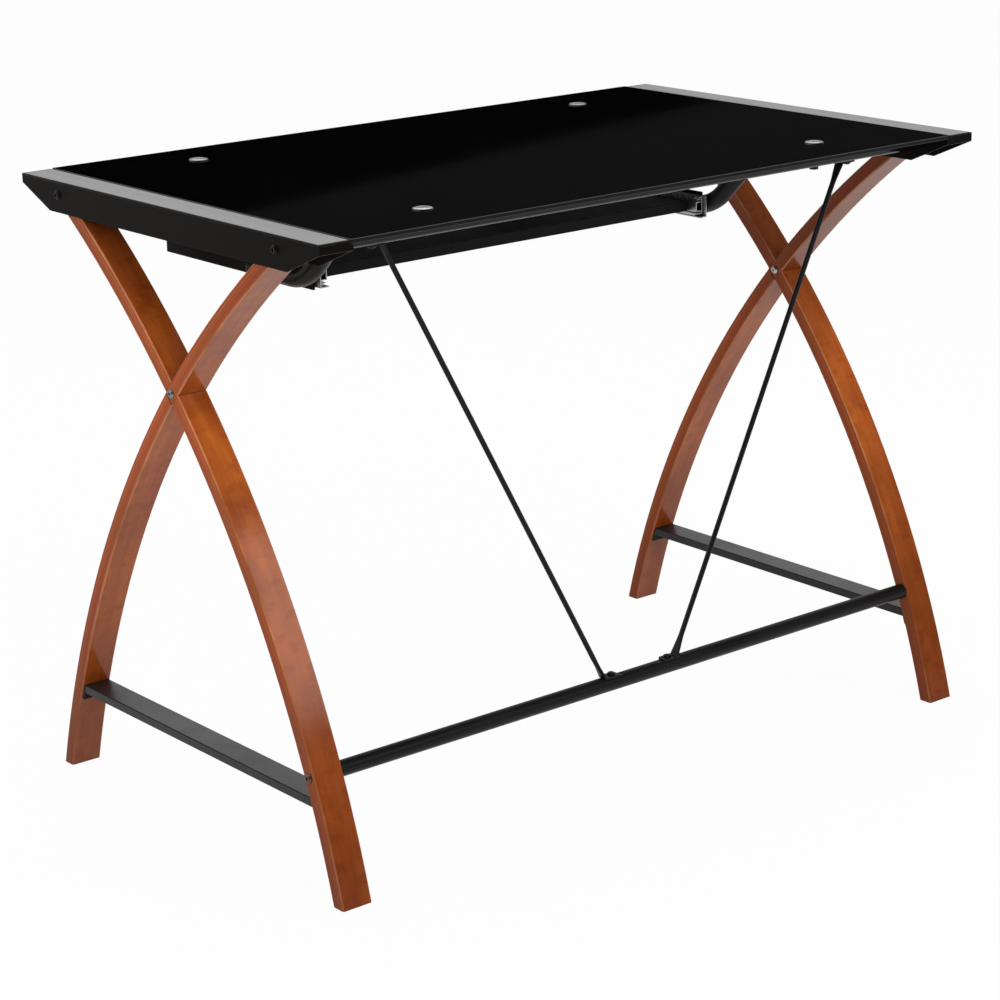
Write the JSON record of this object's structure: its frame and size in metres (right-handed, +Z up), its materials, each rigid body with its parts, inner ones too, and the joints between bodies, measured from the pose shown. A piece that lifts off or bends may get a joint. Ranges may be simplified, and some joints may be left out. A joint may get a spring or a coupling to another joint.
{
  "type": "computer desk",
  "caption": "Glass-topped computer desk on crossed bentwood legs, with side rails, cross tubes, a braced rear stretcher and a keyboard tray that slides out under the top.",
  "frame": {"origin": "on the floor, under the middle of the desk", "axes": "+X to the right of someone who sits at the desk, +Y away from them to the rear, +Z up; the keyboard tray slides out along -Y"},
  "size_m": [1.006, 0.6, 0.7512],
  "materials": {
    "black_glass": "tempered black glass, polished",
    "rail_black": "satin black paint",
    "rail_grey": "satin graphite grey paint",
    "black_powder_coat": "satin black powder coat",
    "cherry_lacquer": "glossy cherry-stained laminated beech",
    "black_laminate": "satin black laminate on board",
    "polished_caps": "satin nickel",
    "zinc_plate": "bright zinc plate",
    "bearing_steel": "greased steel",
    "black_fasteners": "black oxide",
    "antique_fasteners": "antique bronze plate",
    "black_nylon": "moulded nylon",
    "rubber": "matte"
  },
  "bodies": {
    "desk": {"brace_bolts": "black_fasteners", "cross_tube_plugs": "black_nylon", "end_bar_screws": "black_fasteners", "frame_bolts": "black_fasteners", "front_cross_tube": "black_powder_coat", "glass_cap_screws": "polished_caps", "glass_nuts": "black_fasteners", "glass_pads": "rubber", "glass_top": "black_glass", "glass_washers": "black_fasteners", "hanger_end_caps": "black_nylon", "left_brace_rod": "black_powder_coat", "left_end_bar": "black_powder_coat", "left_front_leg": "cherry_lacquer", "left_hanger_strap": "black_powder_coat", "left_rail_cap": "rail_grey", "left_rear_leg": "cherry_lacquer", "left_side_rail": "rail_black", "left_slide_outer": "zinc_plate", "left_tray_hanger": "black_powder_coat", "leg_cross_bolts": "zinc_plate", "leg_cross_nuts": "zinc_plate", "rear_cross_tube": "black_powder_coat", "rear_stretcher": "black_powder_coat", "right_brace_rod": "black_powder_coat", "right_end_bar": "black_powder_coat", "right_front_leg": "cherry_lacquer", "right_hanger_strap": "black_powder_coat", "right_rail_cap": "rail_grey", "right_rear_leg": "cherry_lacquer", "right_side_rail": "rail_black", "right_slide_outer": "zinc_plate", "right_tray_hanger": "black_powder_coat", "slide_screws": "zinc_plate", "strap_bolts": "black_fasteners", "stretcher_bolts": "antique_fasteners", "stretcher_plugs": "black_nylon", "threaded_inserts": "zinc_plate"},
    "tray": {"keyboard_tray": "black_laminate", "left_slide_inner": "zinc_plate", "right_slide_inner": "zinc_plate", "tray_screws": "zinc_plate"},
    "left_middle": {"left_slide_middle": "zinc_plate", "left_bearing_strips": "bearing_steel"},
    "right_middle": {"right_slide_middle": "zinc_plate", "right_bearing_strips": "bearing_steel"}
  },
  "joints": [
    {"name": "tray_slide", "type": "slide", "parent": "desk", "child": "tray", "axis": [0, -1, 0], "range_m": [0, 0.3]},
    {"name": "left_middle_slide", "type": "slide", "parent": "desk", "child": "left_middle", "axis": [0, -1, 0], "range_m": [0, 0.15]},
    {"name": "right_middle_slide", "type": "slide", "parent": "desk", "child": "right_middle", "axis": [0, -1, 0], "range_m": [0, 0.15]}
  ],
  "couplings": [
    {"joint": "left_middle_slide", "follows": "tray_slide", "ratio": 0.5},
    {"joint": "right_middle_slide", "follows": "tray_slide", "ratio": 0.5}
  ]
}
